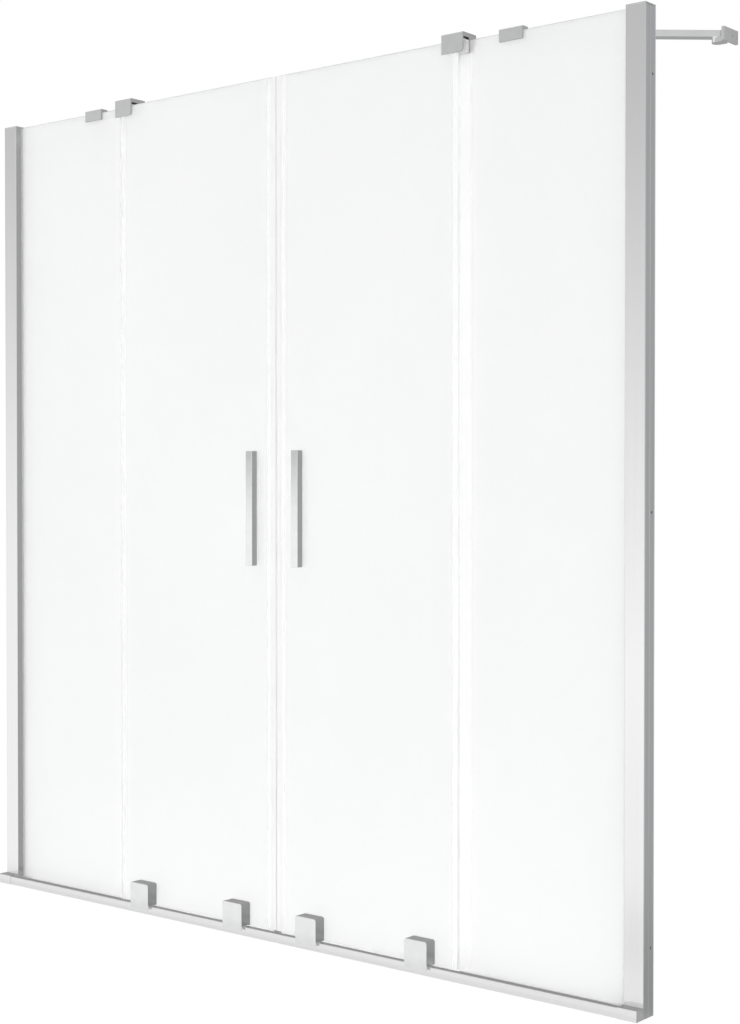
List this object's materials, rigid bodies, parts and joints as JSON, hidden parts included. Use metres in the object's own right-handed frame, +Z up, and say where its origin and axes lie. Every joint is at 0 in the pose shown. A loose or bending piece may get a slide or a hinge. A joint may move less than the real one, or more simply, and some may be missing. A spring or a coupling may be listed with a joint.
{
  "type": "sliding bath screen",
  "caption": "Wall-to-wall sliding bath screen with fixed satin glass panes, doors on roller carriages along a low rail, bar handles, top guides and corner braces.",
  "frame": {"origin": "middle of the rail's base, on the bath rim", "axes": "+X along the rim to the right, +Y from the room into the bath, +Z up"},
  "size_m": [1.46, 0.3113, 1.5118],
  "materials": {
    "polished_profile": "bright polished aluminium extrusion",
    "mill_aluminium": "plain mill-finish aluminium extrusion",
    "chrome_fitting": "satin-bright chrome plate on cast metal",
    "satin_glass": "satin-etched safety glass",
    "clear_seal": "translucent soft plastic",
    "magnet_strip": "pale plastic-bound magnet strip",
    "pale_gasket": "pale grey soft gasket",
    "stop_rubber": "grey rubber buffer",
    "white_nylon": "white nylon",
    "stainless": "plain stainless steel"
  },
  "bodies": {
    "frame": {"threshold_rail": "polished_profile", "post_gaskets": "pale_gasket", "sill_gaskets": "pale_gasket", "post_lock_screws": "stainless", "clip_set_screws": "stainless", "brace_pivot_screws": "stainless", "door_stops": "stop_rubber", "left_rail_end_cap": "polished_profile", "right_rail_end_cap": "polished_profile", "left_wall_channel": "mill_aluminium", "right_wall_channel": "mill_aluminium", "left_post": "polished_profile", "right_post": "polished_profile", "left_post_cap": "polished_profile", "right_post_cap": "polished_profile", "left_fixed_pane": "satin_glass", "right_fixed_pane": "satin_glass", "left_pane_edge_seal": "clear_seal", "right_pane_edge_seal": "clear_seal", "left_top_guide": "chrome_fitting", "right_top_guide": "chrome_fitting", "left_guide_glider": "white_nylon", "right_guide_glider": "white_nylon", "left_brace_clip": "chrome_fitting", "right_brace_clip": "chrome_fitting", "left_brace_bar": "chrome_fitting", "right_brace_bar": "chrome_fitting", "left_wall_bracket": "chrome_fitting", "right_wall_bracket": "chrome_fitting"},
    "left_door": {"left_door_glass": "satin_glass", "left_outer_handle": "chrome_fitting", "left_inner_handle": "chrome_fitting", "left_handle_studs": "stainless", "left_meeting_seal": "clear_seal", "left_magnet_strip": "magnet_strip", "left_trailing_seal": "clear_seal", "left_drip_seal": "clear_seal", "left_inner_carriage": "chrome_fitting", "left_outer_carriage": "chrome_fitting", "left_axle_pins": "stainless", "left_clamp_plates": "stainless", "left_carriage_screws": "stainless"},
    "right_door": {"right_door_glass": "satin_glass", "right_outer_handle": "chrome_fitting", "right_inner_handle": "chrome_fitting", "right_handle_studs": "stainless", "right_meeting_seal": "clear_seal", "right_magnet_strip": "magnet_strip", "right_trailing_seal": "clear_seal", "right_drip_seal": "clear_seal", "right_inner_carriage": "chrome_fitting", "right_outer_carriage": "chrome_fitting", "right_axle_pins": "stainless", "right_clamp_plates": "stainless", "right_carriage_screws": "stainless"},
    "left_inner_wheel": {"left_inner_wheel": "white_nylon"},
    "left_outer_wheel": {"left_outer_wheel": "white_nylon"},
    "right_inner_wheel": {"right_inner_wheel": "white_nylon"},
    "right_outer_wheel": {"right_outer_wheel": "white_nylon"}
  },
  "joints": [
    {"name": "left_door_slide", "type": "slide", "parent": "frame", "child": "left_door", "axis": [-1, 0, 0], "range_m": [0, 0.284]},
    {"name": "right_door_slide", "type": "slide", "parent": "frame", "child": "right_door", "axis": [1, 0, 0], "range_m": [0, 0.284]},
    {"name": "left_inner_wheel_spin", "type": "hinge", "parent": "left_door", "child": "left_inner_wheel", "pos_m": [-0.086, -0.0185, 0.0273], "axis": [0, 1, 0], "continuous": true},
    {"name": "left_outer_wheel_spin", "type": "hinge", "parent": "left_door", "child": "left_outer_wheel", "pos_m": [-0.322, -0.0185, 0.0273], "axis": [0, 1, 0], "continuous": true},
    {"name": "right_inner_wheel_spin", "type": "hinge", "parent": "right_door", "child": "right_inner_wheel", "pos_m": [0.086, -0.0185, 0.0273], "axis": [0, 1, 0], "continuous": true},
    {"name": "right_outer_wheel_spin", "type": "hinge", "parent": "right_door", "child": "right_outer_wheel", "pos_m": [0.322, -0.0185, 0.0273], "axis": [0, 1, 0], "continuous": true}
  ],
  "couplings": [
    {"joint": "left_inner_wheel_spin", "follows": "left_door_slide", "rad_per_m": -90.909},
    {"joint": "left_outer_wheel_spin", "follows": "left_door_slide", "rad_per_m": -90.909},
    {"joint": "right_inner_wheel_spin", "follows": "right_door_slide", "rad_per_m": 90.909},
    {"joint": "right_outer_wheel_spin", "follows": "right_door_slide", "rad_per_m": 90.909}
  ]
}
